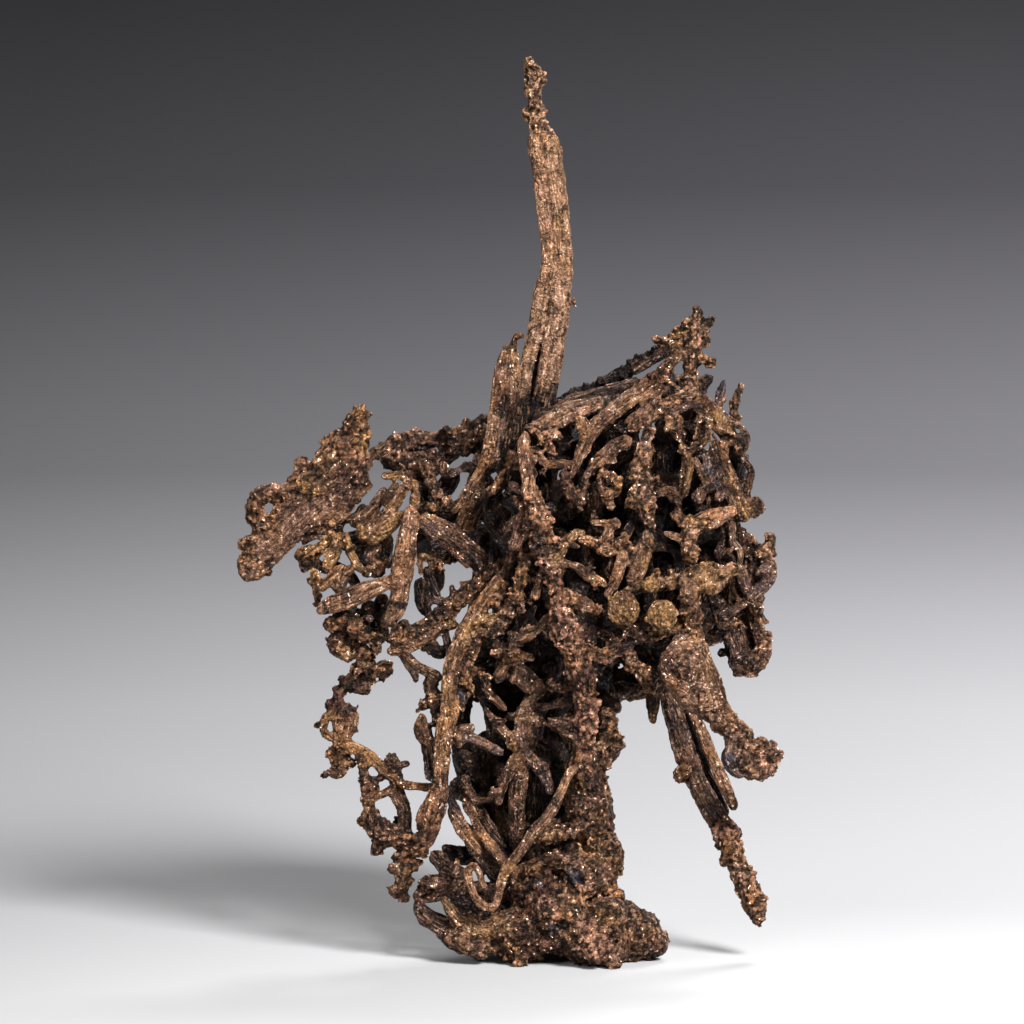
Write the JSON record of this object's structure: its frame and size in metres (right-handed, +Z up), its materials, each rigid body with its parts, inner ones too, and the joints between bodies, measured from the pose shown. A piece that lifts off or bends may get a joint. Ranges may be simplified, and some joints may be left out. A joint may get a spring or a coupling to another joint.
{
  "type": "native copper nugget",
  "caption": "Tangle of flattened copper wires, plates and granular lumps grown into one standing piece, with a lumpy foot and one tall upright spike.",
  "frame": {"origin": "on the floor plane, under the middle of the bounding box", "axes": "+Z up along the tall spike, -Y towards the front that shows the stem and the round plates, +X to the right as seen from the front"},
  "size_m": [0.0544, 0.0308, 0.0905],
  "materials": {
    "base": "granular, dark brown with ochre patches and bright coppery grains",
    "trunk": "near-black tarnish with bluish glints",
    "tall_spike": "fine-grained golden brown, dark along its groove",
    "short_spike": "fine-grained brown",
    "front_stem": "granular pinkish copper with bright sparkles",
    "long_wire": "striated reddish brown",
    "hook_wire": "brown, golden at the bend",
    "crown": "beaded brown with a black ridge",
    "right_finger": "smooth fine-grained brown with olive-golden plates",
    "right_cage": "brown and dark blue wires with golden lines",
    "right_leg": "dark grey with a coppery rib and olive ridges",
    "right_edge": "purplish grey and brown",
    "left_fan": "brown wires, some golden, and dark beaded clusters",
    "left_arm": "smooth reddish plate with a granular mass above",
    "left_chain": "brown nodules with golden leaves",
    "rear_prop": "dull dark brown",
    "rear_fan": "dull brown wires with coppery edges"
  },
  "bodies": {
    "root": {"base": "base", "trunk": "trunk", "tall_spike": "tall_spike", "short_spike": "short_spike", "front_stem": "front_stem", "long_wire": "long_wire", "hook_wire": "hook_wire", "crown": "crown", "right_finger": "right_finger", "right_cage": "right_cage", "right_leg": "right_leg", "right_edge": "right_edge", "left_fan": "left_fan", "left_arm": "left_arm", "left_chain": "left_chain", "rear_prop": "rear_prop", "rear_fan": "rear_fan"}
  },
  "joints": []
}
